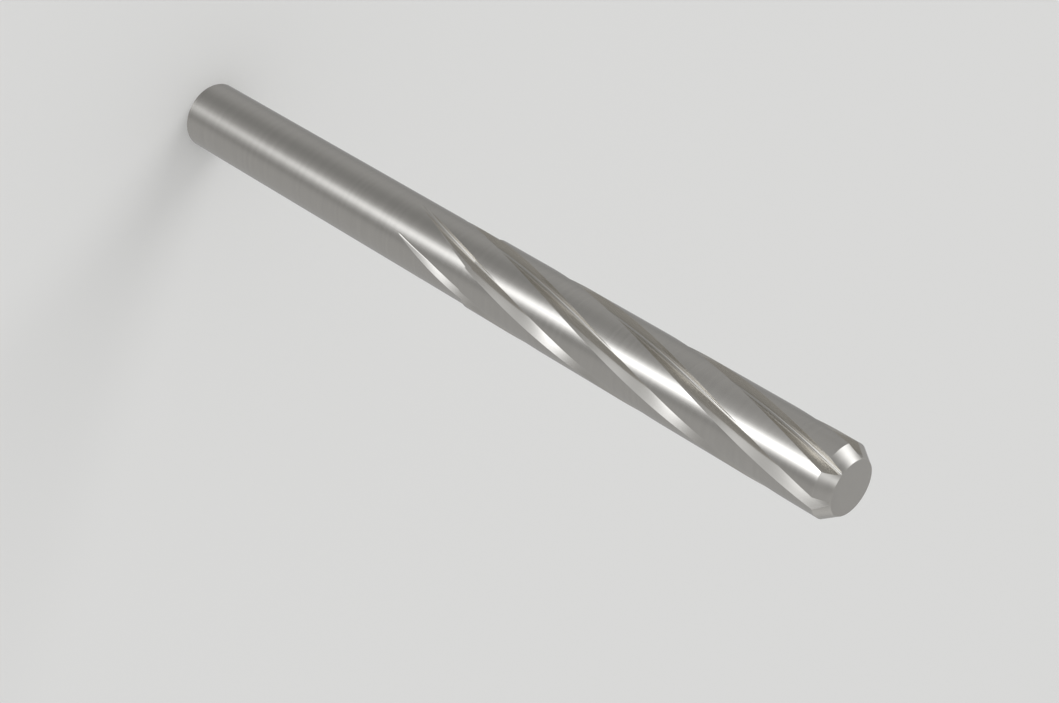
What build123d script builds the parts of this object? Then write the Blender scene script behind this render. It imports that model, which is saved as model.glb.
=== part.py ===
from build123d import *
from math import atan2, cos, degrees, radians, sin, sqrt, tan
import os

# Hand reamer, ground from one round steel bar. Sizes are in millimetres and angles in degrees.
# The origin is the centre of the shank's end face, and +Z runs along the axis to the cutting nose.

# The bar
overall_length = 152.0
shank_diameter = 12.56
cutting_diameter = 13.0
cutting_length = 78.5

# The bevelled nose that leads the tool into the hole
nose_bevel_length = 2.33
nose_face_diameter = 9.65

# The spiral flutes: a radial cutting face, a straight back wall, and a narrow root flat with round corners
flute_count = 6
flute_lead = 157.0
flute_angle = 60.0
flute_root_diameter = 9.76
flute_root_flat = 0.08
flute_root_radius = 0.31
first_flute_angle = 35.4

# Behind the cutting part each flute climbs out of the shank and ends in a point.
run_out_length = 16.2
run_out_stations = 8
run_out_clearance = 0.05

# How far the grinding shapes reach past the metal that they take away
overcut = 0.6

shank_radius = shank_diameter / 2
cutting_radius = cutting_diameter / 2
nose_face_radius = nose_face_diameter / 2
flute_root_circle = flute_root_diameter / 2
step_height = overall_length - cutting_length
bevel_height = overall_length - nose_bevel_length
run_out_lift = shank_radius - flute_root_circle

# Places in a flute's section, whose first axis runs out from the tool's centre along the cutting face.
# The root corner on the back wall's side is the one that touches the root circle.
half_flute_angle = radians(flute_angle / 2)
corner_setback = flute_root_radius * tan(radians(90 - flute_angle / 2) / 2)
low_corner_height = flute_root_radius + flute_root_flat * cos(half_flute_angle)
low_corner_reach = sqrt((flute_root_circle + flute_root_radius) ** 2 - low_corner_height**2)
low_corner_bearing = degrees(atan2(low_corner_height, low_corner_reach))
face_start = low_corner_reach + flute_root_flat * sin(half_flute_angle) - corner_setback
wall_length = (cutting_radius + overcut) / cos(half_flute_angle) - face_start
root_width = flute_root_flat + 2 * corner_setback


def flute_section(height, lift=0.0):
    """The flute's section at a height, turned with the spiral and lifted straight away from the axis."""
    twist = first_flute_angle + 360 * (height - step_height) / flute_lead
    face_direction = Vector(1, 0).rotate(Axis.Z, twist)
    lift_offset = Vector(lift, 0).rotate(Axis.Z, twist + low_corner_bearing)
    with BuildSketch(Plane(lift_offset + Vector(0, 0, height), x_dir=face_direction)) as section:
        with BuildLine():
            cutting_face = Line((face_start, 0), (face_start + wall_length, 0))
            root = PolarLine(cutting_face @ 0, root_width, 90 + flute_angle / 2)
            back_wall = PolarLine(root @ 1, wall_length, flute_angle)
            Line(back_wall @ 1, cutting_face @ 1)
        make_face()
        root_corners = section.vertices().sort_by_distance((0, 0))[:2]
        fillet(root_corners, flute_root_radius)
    return section.sketch


# The turned blank has a plain shank, a small step up to the cutting part, and the nose bevel.
with BuildPart() as reamer:
    with BuildSketch(Plane.XZ):
        with BuildLine():
            Polyline(
                (0, 0),
                (shank_radius, 0),
                (shank_radius, step_height),
                (cutting_radius, step_height),
                (cutting_radius, bevel_height),
                (nose_face_radius, overall_length),
                (0, overall_length),
                close=True,
            )
        make_face()
    revolve(axis=Axis.Z)


# One flute for the grinding wheel to take away: full depth along the cutting part, then the run-out.
with BuildPart() as flute:
    with BuildLine(Plane.XY.offset(step_height)) as spiral:
        Helix(pitch=flute_lead, height=cutting_length + overcut, radius=cutting_radius)
    sweep(sections=flute_section(step_height), path=spiral.line, is_frenet=True)
    run_out = []
    for station in range(run_out_stations + 1):
        share = station / run_out_stations * (1 + run_out_clearance)
        run_out.append(flute_section(step_height - share * run_out_length, share * run_out_lift))
    loft(sections=run_out)

with reamer:
    with PolarLocations(0, flute_count):
        add(flute.part, mode=Mode.SUBTRACT)

reamer.part.label = "reamer"

os.makedirs("parts", exist_ok=True)
export_step(reamer.part, "parts/reamer.step")
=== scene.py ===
# %% [markdown]
# # A hand reamer, from a turned blank to ground steel
# A reamer opens a drilled hole to its exact size and leaves it smooth. This one is a single bar of
# tool steel: a plain round shank, a slightly thicker cutting part with six spiral flutes, and a short
# bevel at the nose. The cells below make it the way a workshop does. A blank is turned, a grinding
# wheel's path is modelled as a solid, six copies of it are taken away, and each kind of surface gets
# its own grinding marks.

from math import atan2, cos, degrees, pi, radians, sin, sqrt, tan

import bmesh
import bpy
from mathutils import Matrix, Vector


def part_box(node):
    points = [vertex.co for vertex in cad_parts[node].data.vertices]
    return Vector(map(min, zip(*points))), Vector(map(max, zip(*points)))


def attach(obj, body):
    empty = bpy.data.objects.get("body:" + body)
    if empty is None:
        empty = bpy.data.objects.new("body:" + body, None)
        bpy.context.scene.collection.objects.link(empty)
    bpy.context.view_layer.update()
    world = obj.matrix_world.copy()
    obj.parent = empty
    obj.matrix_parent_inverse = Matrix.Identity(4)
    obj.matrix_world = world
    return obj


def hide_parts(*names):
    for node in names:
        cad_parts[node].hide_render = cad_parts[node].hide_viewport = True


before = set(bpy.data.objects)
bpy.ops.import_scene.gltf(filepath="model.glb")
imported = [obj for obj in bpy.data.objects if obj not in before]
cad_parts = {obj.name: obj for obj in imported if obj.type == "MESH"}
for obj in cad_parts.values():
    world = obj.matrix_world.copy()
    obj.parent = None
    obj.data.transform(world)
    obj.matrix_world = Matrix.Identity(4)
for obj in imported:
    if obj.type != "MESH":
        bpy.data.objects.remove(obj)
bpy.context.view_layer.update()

# %% [markdown]
# ## Driving sizes
# The frame gives the overall length and the cutting diameter, so the piece that is made here can't
# drift away from the solid that it stands for. The other sizes are the tool's own: how long the cutting
# part is, how thick the shank is, and the shape of one flute. All of Blender's lengths are in metres.

# %% Sizes from the frame and the tool
MM = 0.001

node_low, node_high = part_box("reamer")
overall_length = node_high.z - node_low.z
cutting_radius = (node_high.x - node_low.x) / 2
shank_radius = 6.28 * MM
cutting_length = 78.5 * MM
nose_bevel_length = 2.33 * MM
nose_face_radius = 4.825 * MM
step_height = overall_length - cutting_length
bevel_height = overall_length - nose_bevel_length
print("length", round(overall_length, 5), "cutting radius", round(cutting_radius, 6))

# %% [markdown]
# ## Camera
# The tool stands on the end of its shank, and the photograph looks down at it from the side with the
# camera rolled over, so that the tool lies across the picture with its nose at the lower right. A long
# lens keeps its two edges almost parallel. The camera is placed by how far round the tool it stands,
# how far away and how high, and its turn is given as three angles.

# %% Camera
camera_azimuth = radians(20.2)
camera_reach = 314.77 * MM
camera_height = 308.45 * MM
camera_turn = [radians(angle) for angle in (-36.5055, -44.6476, 155.3489)]
lens_length = 79.2476
sensor_width = 36
nearest_seen = 10 * MM

bpy.ops.object.select_all(action="DESELECT")
bpy.ops.object.camera_add(
    location=(camera_reach * sin(camera_azimuth), -camera_reach * cos(camera_azimuth), camera_height),
    rotation=camera_turn,
)
camera = bpy.context.object
camera.name = "camera"
camera.data.sensor_width = sensor_width
camera.data.lens = lens_length
camera.data.clip_start = nearest_seen
bpy.context.scene.camera = camera
print("camera at", [round(x, 4) for x in camera.location])

# %% [markdown]
# ## Shader arithmetic
# Node trees grow quickly when every sum is placed by hand. A small wrapper round an output socket lets
# a mask be written as a line of arithmetic: each operator adds one Math node, also when a plain number
# comes first, as in 1 - mask. One more method adds any other kind of node.

# %% The socket wrapper
class Wire:
    """An output socket. Arithmetic on it adds Math nodes to its tree."""

    def __init__(self, socket):
        self.socket = socket

    @staticmethod
    def node(tree, kind, settings=None, values=None, output=0):
        """Adds a node: its settings first, then the values or wires of its sockets. Returns one output."""
        node = tree.nodes.new(kind)
        for name, setting in (settings or {}).items():
            setattr(node, name, setting)
        for name, value in (values or {}).items():
            if isinstance(value, Wire):
                tree.links.new(value.socket, node.inputs[name])
            else:
                node.inputs[name].default_value = value
        return Wire(node.outputs[output]) if node.outputs else node

    def math(self, operation, *others):
        values = dict(enumerate((self, *others)))
        return Wire.node(self.socket.id_data, "ShaderNodeMath", {"operation": operation}, values)

    def after(self, operation, first):
        """The operation with a plain number before this wire."""
        settings = {"operation": operation}
        return Wire.node(self.socket.id_data, "ShaderNodeMath", settings, {0: first, 1: self})

    def __add__(self, other):
        return self.math("ADD", other)

    def __sub__(self, other):
        return self.math("SUBTRACT", other)

    def __mul__(self, other):
        return self.math("MULTIPLY", other)

    def __truediv__(self, other):
        return self.math("DIVIDE", other)

    def __mod__(self, other):
        return self.math("FLOORED_MODULO", other)

    def __neg__(self):
        return self.math("MULTIPLY", -1)

    def __radd__(self, other):
        return self.after("ADD", other)

    def __rsub__(self, other):
        return self.after("SUBTRACT", other)

    def __rmul__(self, other):
        return self.after("MULTIPLY", other)

    def __rtruediv__(self, other):
        return self.after("DIVIDE", other)

    def bell(self, middle, width):
        """1 where the wire is at the middle, falling smoothly to nothing over the width."""
        off = (self - middle) / width
        return (-(off * off)).math("EXPONENT")

    def rise(self, low, high):
        """0 below low, 1 above high and a smooth ramp in between. With low above high it falls."""
        tree = self.socket.id_data
        settings = {"interpolation_type": "SMOOTHSTEP"}
        if low < high:
            return Wire.node(tree, "ShaderNodeMapRange", settings, {0: self, 1: low, 2: high})
        values = {0: self, 1: high, 2: low, 3: 1.0, 4: 0.0}
        return Wire.node(tree, "ShaderNodeMapRange", settings, values)


print("shader arithmetic ready")

# %% [markdown]
# ## Floor
# The tool stands on a plain pale floor that runs out of sight. The floor keeps the tool's soft shadow.
# Bare steel shows its surroundings more than itself, so what the steel mirrors comes from the soft
# surroundings made in the next step, and the floor itself is left out of the mirror image.

# %% Floor
floor_shade = (0.80, 0.80, 0.79, 1)
floor_roughness = 0.9
floor_radius = 6
floor_sides = 96

bpy.ops.object.select_all(action="DESELECT")
bpy.ops.mesh.primitive_circle_add(vertices=floor_sides, radius=floor_radius, fill_type="NGON")
floor = bpy.context.object
floor.name = "floor"
floor.visible_glossy = False
floor_finish = bpy.data.materials.new("pale_floor")
floor_finish.use_nodes = True
floor_sockets = floor_finish.node_tree.nodes["Principled BSDF"].inputs
floor_sockets["Base Color"].default_value = floor_shade
floor_sockets["Roughness"].default_value = floor_roughness
floor.data.materials.append(floor_finish)
print("floor", floor.name, "radius", floor_radius, "m")

# %% [markdown]
# ## Surroundings
# A photographer lights polished metal with tall soft boxes: the metal's bright line is the box, and
# the grey beside it is the dim room. Here the room is the world. For shadows and the floor it is an
# even plain light. For mirror rays it is a grey room with one tall soft box a little to the right of
# the camera, a wider one over it on the ceiling, and more of them at the sides and round the back, so
# that the tool has a bright line from every side. All of them are smooth bands over the heading and
# the height of a ray, so no picture is needed.

# %% Headings and heights in the room
front = camera_azimuth - pi / 2
back_fade = 0.2
# A little over 1, so that a ray straight up has a level part too.
ray_length = 1.0001

world = bpy.data.worlds.new("soft_room")
world.use_nodes = True
bpy.context.scene.world = world
room = world.node_tree
room.nodes.clear()

direction = Wire.node(room, "ShaderNodeTexCoord", output="Generated")
along_x, along_y, rising = (
    Wire.node(room, "ShaderNodeSeparateXYZ", values={0: direction}, output=axis) for axis in range(3)
)
level_part = (ray_length - rising * rising).math("SQRT")


def upright_band(angle, width):
    """A soft upright band, 1 in its middle. Both angles are in degrees, the first round from the camera."""
    heading = front + radians(angle)
    beside = (along_y * cos(heading) - along_x * sin(heading)) / level_part
    toward = (along_x * cos(heading) + along_y * sin(heading)) / level_part
    return beside.bell(0, sin(radians(width))) * toward.rise(0, back_fade)


def around(level, height, spread):
    """A level at one height, falling off above and below. Heights run from -1, straight down, to 1."""
    return rising.bell(height, spread) * level


def between(level, bottom=None, top=None):
    """A level with soft edges. An edge is the height where nothing is left and the height where all is."""
    for edge in (bottom, top):
        if edge:
            level = rising.rise(*edge) * level
    return level


print("the camera's side of the room is at", round(degrees(front), 1), "degrees")

# %% The grey room, darker and paler in places
room_level = 0.372

low_left = between(0.129, top=(-0.2, -0.4)) - between(0.112, bottom=(-0.6, -0.4), top=(-0.2, -0.4))
grey_room = (
    room_level
    - upright_band(angle=-48, width=35) * low_left
    - upright_band(angle=-136, width=24) * between(0.076, top=(0, -0.3))
    - upright_band(angle=40.5, width=11.7) * between(0.086, top=(-0.3, -0.5))
    # The next four are seen mostly by the flutes' walls.
    - upright_band(angle=40, width=11) * between(0.038, bottom=(-0.5, -0.35), top=(0.05, -0.05))
    - upright_band(angle=-95, width=14) * between(0.055, bottom=(-0.52, -0.42), top=(-0.1, -0.3))
    - upright_band(angle=-25, width=8) * between(0.045, bottom=(-0.5, -0.4), top=(0.05, -0.05))
    - upright_band(angle=-15, width=60) * between(0.035, bottom=(-0.48, -0.38), top=(0.05, -0.05))
    # And the two after them mostly by the bevel.
    - upright_band(angle=-46, width=18) * between(0.10, bottom=(0.5, 0.6))
    - upright_band(angle=43, width=16) * between(0.07, bottom=(0.45, 0.6))
    + upright_band(angle=131, width=24.4) * between(0.127, bottom=(-0.2, 0.1))
)
print("grey room nodes", len(room.nodes))

# %% The soft boxes
tall_box = upright_band(angle=6.5, width=13.5) * (
    around(1.99, height=-0.463, spread=0.166)
    + between(0.46, bottom=(-0.6, -0.4), top=(0.6, 0.3))
    - between(0.10, bottom=(-0.25, -0.05), top=(0.6, 0.3))
)
ceiling_box = upright_band(angle=9, width=16) * between(0.50, bottom=(0.3, 0.6))
box_skirt = upright_band(angle=-18.4, width=22.8) * between(0.192, bottom=(-0.58, -0.42), top=(0.1, -0.1))
window = upright_band(angle=-49.4, width=17.9) * around(0.328, height=-0.137, spread=0.176)
high_box = upright_band(angle=-96.6, width=24.2) * around(1.39, height=0.537, spread=0.286)
side_box = upright_band(angle=100, width=12) * between(0.9, bottom=(-0.36, -0.3), top=(0.0, -0.15))
back_box = upright_band(angle=180, width=8) * between(0.9, top=(0.15, 0.0))
soft_boxes = tall_box + ceiling_box + box_skirt + window + high_box + side_box + back_box
print("with the boxes", len(room.nodes))

# %% The world's light
plain_level = 0.75
white = (1, 1, 1, 1)
box_colour = (0.97, 0.99, 1.03, 1)

is_mirror = Wire.node(room, "ShaderNodeLightPath", output="Is Glossy Ray")
room_strength = plain_level + is_mirror * (grey_room - plain_level)
room_light, box_light = (
    Wire.node(room, "ShaderNodeBackground", values={"Color": colour, "Strength": strength})
    for colour, strength in ((white, room_strength), (box_colour, is_mirror * soft_boxes))
)
both = Wire.node(room, "ShaderNodeAddShader", values={0: room_light, 1: box_light})
Wire.node(room, "ShaderNodeOutputWorld", values={"Surface": both})
print("room nodes", len(room.nodes))

# %% [markdown]
# ## The lamp
# One real lamp shines from the left and gives the tool its soft shadow on the floor. A lamp close by
# would leave a hot spot on the floor, so this one is a sun, made soft by a wide disc. The steel mirrors
# the room's own boxes, so the lamp is hidden from mirror rays, and no second bright patch appears.

# %% The lamp
lamp_heading = front - radians(92)
lamp_rise = radians(24)
lamp_disc = radians(36)
lamp_strength = 0.94

level_way = cos(lamp_rise)
lamp_way = Vector((cos(lamp_heading) * level_way, sin(lamp_heading) * level_way, sin(lamp_rise)))
lamp_turn = lamp_way.to_track_quat("Z", "Y").to_euler()
bpy.ops.object.select_all(action="DESELECT")
bpy.ops.object.light_add(type="SUN", location=lamp_way, rotation=lamp_turn)
lamp = bpy.context.object
lamp.name = "soft_lamp"
lamp.data.angle = lamp_disc
lamp.data.energy = lamp_strength
lamp.visible_glossy = False
print("lamp shines from", [round(x, 3) for x in lamp_way])

# %% [markdown]
# ## The turned blank
# A lathe gives the bar its round forms before any flute is cut. The same order works in Blender: a
# filled circle is the end of the shank, and its face is extruded upwards and scaled wherever the
# diameter changes. Spinning a half profile would give the same shape, but extruding keeps both ends
# closed with no seam. Many sides keep the mirror image smooth.

# %% Turn the blank
round_sides = 288


def edit(piece):
    """Selects one piece alone and opens it in edit mode."""
    bpy.ops.object.select_all(action="DESELECT")
    bpy.context.view_layer.objects.active = piece
    piece.select_set(True)
    bpy.ops.object.mode_set(mode="EDIT")
    return bmesh.from_edit_mesh(piece.data)


def grow(height, scale=1.0):
    """Extrudes the selected end upwards and scales it about the tool's axis."""
    bpy.ops.mesh.extrude_region_move(TRANSFORM_OT_translate={"value": (0, 0, height)})
    bpy.ops.transform.resize(value=(scale, scale, 1), center_override=(0, 0, 0))


bpy.ops.object.select_all(action="DESELECT")
bpy.ops.mesh.primitive_circle_add(vertices=round_sides, radius=shank_radius, fill_type="NGON")
bar = bpy.context.object
bar.name = "ground_bar"
edit(bar)
bpy.ops.mesh.select_all(action="SELECT")
grow(step_height)
grow(0, cutting_radius / shank_radius)
grow(bevel_height - step_height)
grow(nose_bevel_length, nose_face_radius / cutting_radius)
bpy.ops.mesh.select_all(action="SELECT")
bpy.ops.mesh.normals_make_consistent(inside=False)
bpy.ops.object.mode_set(mode="OBJECT")
print("blank", len(bar.data.polygons), "faces, height", round(bar.dimensions.z, 4))

# %% [markdown]
# ## The shape that the wheel takes away
# A flute has a radial cutting face, a straight back wall at sixty degrees to it and a small round root.
# One plane with its four corners moved into place is that section, and a vertex bevel rounds the root.
# It could be swept along a curve, but extruding it step by step, with a small turn at each step, keeps
# every ring exactly where the spiral has it, and the same loop lifts the wheel out of the shank.

# %% The flute's section
flute_count = 6
flute_lead = 157.0 * MM
flute_angle = radians(60)
flute_root_circle = 4.88 * MM
flute_root_flat = 0.08 * MM
flute_root_radius = 0.31 * MM
first_flute_angle = radians(35.4)
overcut = 0.6 * MM

half_angle = flute_angle / 2
corner_setback = flute_root_radius * tan((pi / 2 - half_angle) / 2)
low_corner_height = flute_root_radius + flute_root_flat * cos(half_angle)
low_corner_reach = sqrt((flute_root_circle + flute_root_radius) ** 2 - low_corner_height**2)
low_corner_bearing = atan2(low_corner_height, low_corner_reach)
face_start = low_corner_reach + flute_root_flat * sin(half_angle) - corner_setback
wall_length = (cutting_radius + overcut) / cos(half_angle) - face_start
root_width = flute_root_flat + 2 * corner_setback


def polar(length, angle):
    return Vector((length * cos(angle), length * sin(angle), 0))


root_foot = Vector((face_start, 0, 0))
wall_foot = root_foot + polar(root_width, pi / 2 + half_angle)
section_corners = [
    root_foot,
    root_foot + polar(wall_length, 0),
    wall_foot,
    wall_foot + polar(wall_length, flute_angle),
]

bpy.ops.object.select_all(action="DESELECT")
bpy.ops.mesh.primitive_plane_add(size=root_width)
wheel = bpy.context.object
wheel.name = "wheel_path"
edit(wheel)
for number, target in enumerate(section_corners):
    bpy.ops.mesh.select_all(action="DESELECT")
    mesh = bmesh.from_edit_mesh(wheel.data)
    mesh.verts.ensure_lookup_table()
    mesh.verts[number].select_set(True)
    mesh.select_flush_mode()
    bpy.ops.transform.translate(value=target - mesh.verts[number].co)
print("section corners", [[round(x / MM, 3) for x in corner[:2]] for corner in section_corners])

# %% Round the root and divide the long walls
root_corners = [section_corners.index(corner) for corner in (root_foot, wall_foot)]
root_segments = 6
wall_cuts = 3

bpy.ops.mesh.select_all(action="DESELECT")
mesh = bmesh.from_edit_mesh(wheel.data)
mesh.verts.ensure_lookup_table()
for number in root_corners:
    mesh.verts[number].select_set(True)
mesh.select_flush_mode()
bpy.ops.mesh.bevel(
    offset_type="OFFSET",
    offset=corner_setback,
    segments=root_segments,
    profile=0.5,
    affect="VERTICES",
    clamp_overlap=False,
)
bpy.ops.mesh.select_all(action="DESELECT")
mesh = bmesh.from_edit_mesh(wheel.data)
for edge in mesh.edges:
    inner = min(vertex.co.length for vertex in edge.verts)
    outer = max(vertex.co.length for vertex in edge.verts)
    if inner < shank_radius < outer and outer - inner > flute_root_radius:
        edge.select_set(True)
bpy.ops.mesh.subdivide(number_cuts=wall_cuts)
mesh = bmesh.from_edit_mesh(wheel.data)
lowest = min(vertex.co.length for vertex in mesh.verts)
print("section", len(mesh.verts), "corners, root circle", round(lowest / MM, 4))

# %% [markdown]
# ## Along the spiral, and out of the shank
# The section first turns to the place of the first flute and rises to the shoulder. From there one loop
# carries it up past the nose. Its lower end then goes down into the shank, and at each step it is also
# lifted away from the axis, so that the groove gets shallower and narrower and stops at a small blunt
# end. With no window the rotate operator turns the other way round, so the helper gives it the
# opposite angle.

# %% Sweep the wheel
spiral_steps = 84
run_out_length = 16.0 * MM
run_out_end_depth = 0.05 * MM
run_out_lift = shank_radius - flute_root_circle - run_out_end_depth
run_out_steps = 30
near_enough = 0.01 * MM
merge_distance = 0.001 * MM


def turn(angle):
    """Turns what is selected about the tool's axis, anticlockwise seen from the nose."""
    bpy.ops.transform.rotate(value=-angle, orient_axis="Z", center_override=(0, 0, 0))


def carry(height, lift, bearing):
    """Extrudes the selected end along the spiral by a height, lifting it towards a bearing."""
    way = polar(lift, bearing) + Vector((0, 0, height))
    bpy.ops.mesh.extrude_region_move(TRANSFORM_OT_translate={"value": way})
    turn(2 * pi * height / flute_lead)


def at_step(part):
    """Whether all of an edge or a face lies at the height of the shoulder."""
    return all(abs(vertex.co.z - step_height) < near_enough for vertex in part.verts)


bpy.ops.mesh.select_all(action="SELECT")
bpy.ops.transform.translate(value=(0, 0, step_height))
turn(first_flute_angle)
for step in range(spiral_steps):
    carry((cutting_length + overcut) / spiral_steps, 0, 0)

bpy.ops.mesh.select_mode(type="FACE")
bpy.ops.mesh.select_all(action="DESELECT")
mesh = bmesh.from_edit_mesh(wheel.data)
for face in mesh.faces:
    if at_step(face):
        face.select_set(True)
drop = -run_out_length / run_out_steps
lift = run_out_lift / run_out_steps
for step in range(run_out_steps):
    bearing = first_flute_angle + low_corner_bearing + 2 * pi * drop * step / flute_lead
    carry(drop, lift, bearing)
bpy.ops.mesh.select_all(action="SELECT")
bpy.ops.mesh.remove_doubles(threshold=merge_distance)
bpy.ops.mesh.normals_make_consistent(inside=False)
mesh = bmesh.from_edit_mesh(wheel.data)
print("one flute", len(mesh.faces), "faces, volume", round(mesh.calc_volume() / MM**3, 2), "mm3")

# %% [markdown]
# ## Six flutes
# An indexing head turns the bar by a sixth of a circle between one flute and the next. Spin with its
# duplicate option does the same to the mesh. A boolean then takes all six away at once, and the cut
# faces take the wheel's own material, which keeps flutes and lands apart for the finishes.

# %% Copy the wheel's path and cut
bpy.ops.mesh.spin(
    steps=flute_count - 1,
    dupli=True,
    angle=2 * pi * (flute_count - 1) / flute_count,
    center=(0, 0, 0),
    axis=(0, 0, 1),
)
bpy.ops.object.mode_set(mode="OBJECT")

bar_finishes = ["land_grind", "bevel_grind", "end_grind"]
finishes = {name: bpy.data.materials.new(name) for name in [*bar_finishes, "flute_grind"]}
for name in bar_finishes:
    bar.data.materials.append(finishes[name])
wheel.data.materials.append(finishes["flute_grind"])
square_on = 0.9
leaning = 0.1
for face in bar.data.polygons:
    if abs(face.normal.z) > square_on:
        face.material_index = bar_finishes.index("end_grind")
    elif face.normal.z > leaning:
        face.material_index = bar_finishes.index("bevel_grind")

cut = bar.modifiers.new("flutes", "BOOLEAN")
cut.operation = "DIFFERENCE"
cut.solver = "EXACT"
cut.material_mode = "TRANSFER"
cut.object = wheel
bpy.ops.object.select_all(action="DESELECT")
bpy.context.view_layer.objects.active = bar
bar.select_set(True)
bpy.ops.object.modifier_apply(modifier="flutes")
bpy.data.objects.remove(wheel)
print("after the cut", len(bar.data.polygons), "faces, materials", [m.name for m in bar.data.materials])

# %% [markdown]
# ## Clean edges
# A boolean leaves doubled points and slivers, so they are merged away first. A ground edge is crisp:
# where two finishes meet, and round the shoulder, the edges are marked sharp, and the shading is smooth
# everywhere else. Without the marks the mirror image would bend round the edges as if they were soft.

# %% Clean the mesh and set its edges
smooth_angle = radians(22)

edit(bar)
bpy.ops.mesh.select_all(action="SELECT")
bpy.ops.mesh.remove_doubles(threshold=merge_distance)
bpy.ops.mesh.dissolve_degenerate(threshold=merge_distance / 2)
bpy.ops.mesh.select_all(action="SELECT")
bpy.ops.mesh.normals_make_consistent(inside=False)
bpy.ops.mesh.select_mode(type="EDGE")
bpy.ops.mesh.select_all(action="DESELECT")
mesh = bmesh.from_edit_mesh(bar.data)
for edge in mesh.edges:
    if at_step(edge) or len({face.material_index for face in edge.link_faces}) > 1:
        edge.select_set(True)
bpy.ops.mesh.mark_sharp()
open_edges = sum(1 for edge in mesh.edges if len(edge.link_faces) != 2)
volume = mesh.calc_volume() / MM**3
bpy.ops.object.mode_set(mode="OBJECT")
bpy.ops.object.shade_smooth_by_angle(angle=smooth_angle)
print("open edges", open_edges, "volume", round(volume, 1), "mm3")

# %% [markdown]
# ## Ground steel
# Every surface of this tool has met a grinding wheel, and the wheel leaves fine scratches along its
# path. They run round the shank and the lands, along the spiral in the flutes, round the nose bevel and
# in rings on the end faces. The colour is the same bare steel all over, apart from painted light: the
# flutes are painted a little lighter against the shade in their hollows, the end faces a little darker,
# and the edges brighter, as wear and as a painted highlight. The scratches are stretched noise: noise
# that changes fast across the wheel's path and hardly at all along it. They are kept faint, because a
# good reamer is ground almost to a mirror.

# %% Where a point of the tool is
def place(tree):
    """Object coordinates as three wires, with the radius."""
    point = Wire.node(tree, "ShaderNodeTexCoord", output="Object")
    x, y, z = (Wire.node(tree, "ShaderNodeSeparateXYZ", values={0: point}, output=n) for n in range(3))
    radius = (x * x + y * y).math("SQRT")
    return x, y, z, radius


def noise(tree, x, y, z, detail=2.0):
    """Noise from 0 to 1, with cells of size one."""
    spot = Wire.node(tree, "ShaderNodeCombineXYZ", values={0: x, 1: y, 2: z})
    return Wire.node(tree, "ShaderNodeTexNoise", values={"Vector": spot, "Scale": 1.0, "Detail": detail})


for finish in finishes.values():
    finish.use_nodes = True
    finish.node_tree.nodes.clear()
print("finishes", sorted(finishes))

# %% Steel with marks, clouds, wear and painted edge highlights
steel_colour = (0.742, 0.720, 0.677, 1)
middle = 0.5
# The third tone brightens edges, as wear and as a painted edge highlight.
mark_tone, cloud_tone, wear_and_highlight_tone = 0.10, 0.04, 0.06
mark_sheen, cloud_sheen, wear_sheen = 0.05, 0.04, 0.04
cloud_across, cloud_along, cloud_detail = 90, 45, 3.0


def steel(name, marks, depth, roughness, wear_and_highlight, painted_light_factor=1.0):
    """Bare steel with grinding marks of a depth in metres, a wire for wear and a painted highlight on its
    edges, and a factor that paints the finish lighter or darker.
    """
    tree = finishes[name].node_tree
    x, y, z, radius = place(tree)
    cloud = noise(tree, x * cloud_across, y * cloud_across, z * cloud_along, cloud_detail)
    # The edge term paints the edges brighter, as wear and as a painted highlight where a sharp edge would
    # catch the light.
    uneven_and_highlight = (marks - middle) * mark_tone + (cloud - middle) * cloud_tone + wear_and_highlight * wear_and_highlight_tone
    # The last factor paints a whole finish lighter or darker to even out its shading.
    tone = (1 + uneven_and_highlight) * painted_light_factor
    grey = Wire.node(tree, "ShaderNodeCombineColor", values={0: tone, 1: tone, 2: tone})
    colour = Wire.node(
        tree,
        "ShaderNodeMix",
        {"data_type": "RGBA", "blend_type": "MULTIPLY"},
        {"Factor": 1.0, "A": steel_colour, "B": grey},
        output="Result",
    )
    bump = Wire.node(tree, "ShaderNodeBump", values={"Strength": 1.0, "Distance": depth, "Height": marks})
    sheen = roughness + (marks - middle) * mark_sheen + (cloud - middle) * cloud_sheen - wear_and_highlight * wear_sheen
    bare = Wire.node(
        tree,
        "ShaderNodeBsdfPrincipled",
        values={"Base Color": colour, "Metallic": 1.0, "Roughness": sheen, "Normal": bump},
    )
    Wire.node(tree, "ShaderNodeOutputMaterial", values={"Surface": bare})


print("steel", steel_colour[:3])

# %% [markdown]
# ## Shank and lands
# The lands are the strips of the cylinder that the flutes leave. Their edges do the cutting, and they
# are painted a little brighter than the rest, partly as wear and partly as a painted edge highlight. To
# find them, a point's angle is turned back by the spiral, so that each flute keeps one angle all along
# the tool. The rest of a division by a sixth of a circle then tells how far the point is from its own
# land's two edges.

# %% Where a land's edges are
heel_offset = wall_foot.x * sin(flute_angle) - wall_foot.y * cos(flute_angle)
heel_angle = flute_angle - atan2(heel_offset, sqrt(cutting_radius**2 - heel_offset**2))
pitch_angle = 2 * pi / flute_count
edge_width = 0.14 * MM


def spiral_angle(x, y, z):
    """The angle past the flute's cutting face, from 0 to a sixth of a circle."""
    twist = (z - step_height) * (2 * pi / flute_lead) + first_flute_angle
    return (y.math("ARCTAN2", x) - twist) % pitch_angle


def near(z, height, width=edge_width):
    """1 at a height and nothing past a width from it."""
    return (z - height).math("ABSOLUTE").rise(width, 0)


print("heel angle", round(degrees(heel_angle), 2))

# %% Finish of the shank and the lands
shoulder_fade = 0.05 * MM
heel_share = 0.6
shoulder_share = 0.6
corner_share = 0.7
land_along, land_across = 60, 1600

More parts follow.
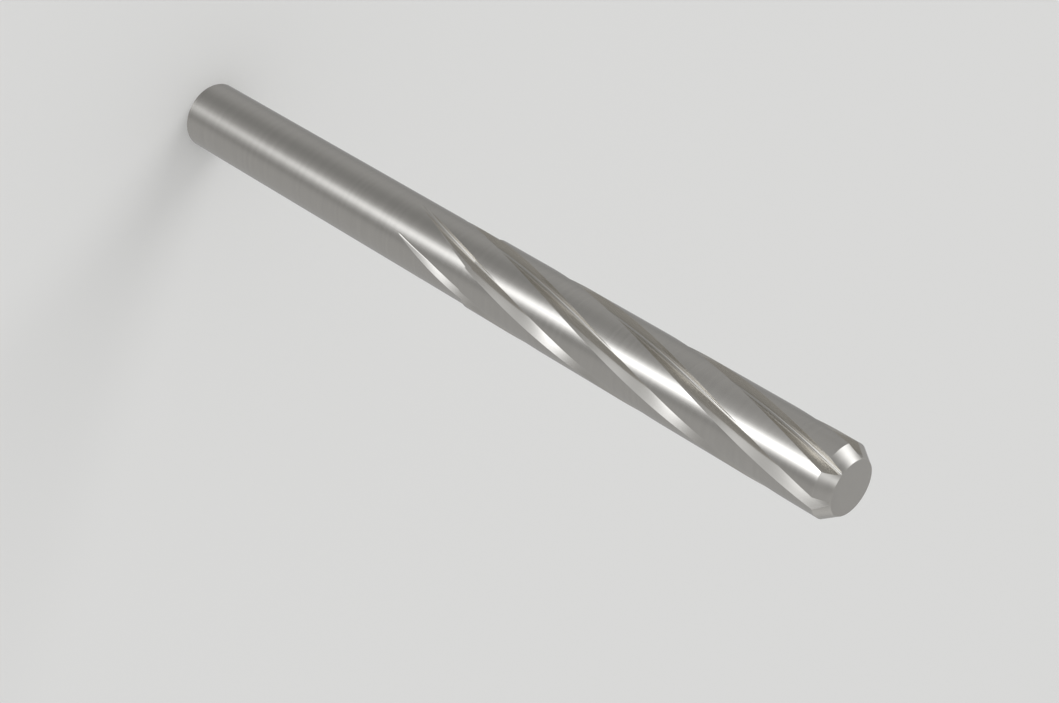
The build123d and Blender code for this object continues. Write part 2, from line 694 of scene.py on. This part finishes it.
tree = finishes["land_grind"].node_tree
x, y, z, radius = place(tree)
angle = spiral_angle(x, y, z)
to_face = (pitch_angle - angle) * radius
to_heel = (angle - heel_angle) * radius
on_cutting_part = z.rise(step_height, step_height + shoulder_fade)
# The lands' edges, the shoulder and the bevel corner are painted brighter: part wear, part painted edge
# highlight.
edge_wear_and_highlight = to_face.rise(edge_width, 0) + to_heel.rise(edge_width * heel_share, 0) * heel_share
ring_wear_and_highlight = near(z, step_height) * shoulder_share + near(z, bevel_height) * corner_share
land_wear_and_highlight = edge_wear_and_highlight * on_cutting_part + ring_wear_and_highlight
land_marks = noise(tree, x * land_along, y * land_along, z * land_across)
steel("land_grind", land_marks, depth=0.0016 * MM, roughness=0.20, wear_and_highlight=land_wear_and_highlight)
print("land nodes", len(tree.nodes))

# %% [markdown]
# ## Flutes, bevel and ends
# In a flute the marks follow the spiral, also where it climbs out of the shank. Noise over the turned
# back angle and the depth under the surface gives lines that do so. The bevel is ground round the axis
# and the end faces in rings.

# %% Finish of the flutes
lip_width = 0.10 * MM
flute_round, flute_across, flute_along = 6, 1500, 30

tree = finishes["flute_grind"].node_tree
x, y, z, radius = place(tree)
angle = spiral_angle(x, y, z)
raised = (step_height - z).math("MAXIMUM", 0.0) * (run_out_lift / run_out_length)
depth_wire = radius - raised
flute_marks = noise(tree, angle * flute_round, depth_wire * flute_across, z * flute_along)
# The outer lip of each flute is painted brighter: part wear, part painted edge highlight.
lip_wear_and_highlight = (radius - cutting_radius).rise(-lip_width, 0) * 0.5
# Painted light: the flutes are made 9 percent lighter, to offset the shade in their hollows.
steel("flute_grind", flute_marks, depth=0.0010 * MM, roughness=0.17, wear_and_highlight=lip_wear_and_highlight, painted_light_factor=1.09)
print("flute nodes", len(tree.nodes))

# %% Finish of the bevel and the end faces
bevel_along, bevel_across = 80, 1800
end_along, end_across = 60, 1700

tree = finishes["bevel_grind"].node_tree
x, y, z, radius = place(tree)
bevel_marks = noise(tree, x * bevel_along, y * bevel_along, z * bevel_across)
# The bevel's two edges are painted brighter: part wear, part painted edge highlight.
bevel_wear_and_highlight = (near(z, bevel_height) + near(z, overall_length)) * 0.5
steel("bevel_grind", bevel_marks, depth=0.0012 * MM, roughness=0.20, wear_and_highlight=bevel_wear_and_highlight)

tree = finishes["end_grind"].node_tree
x, y, z, radius = place(tree)
end_marks = noise(tree, x * end_along, y * end_along, radius * end_across)
# The rim of the end faces is painted brighter: part wear, part painted edge highlight.
end_wear_and_highlight = radius.rise(nose_face_radius - edge_width, nose_face_radius) * 0.3
# Painted shade: the end faces are made 5 percent darker, to tone down the light they catch.
steel("end_grind", end_marks, depth=0.0014 * MM, roughness=0.24, wear_and_highlight=end_wear_and_highlight, painted_light_factor=0.95)
print("finishes", [len(finish.node_tree.nodes) for finish in finishes.values()])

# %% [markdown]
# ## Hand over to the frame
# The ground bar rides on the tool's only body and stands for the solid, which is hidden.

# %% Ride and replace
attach(bar, "root")
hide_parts("reamer")
bpy.context.scene.view_settings.view_transform = "Standard"
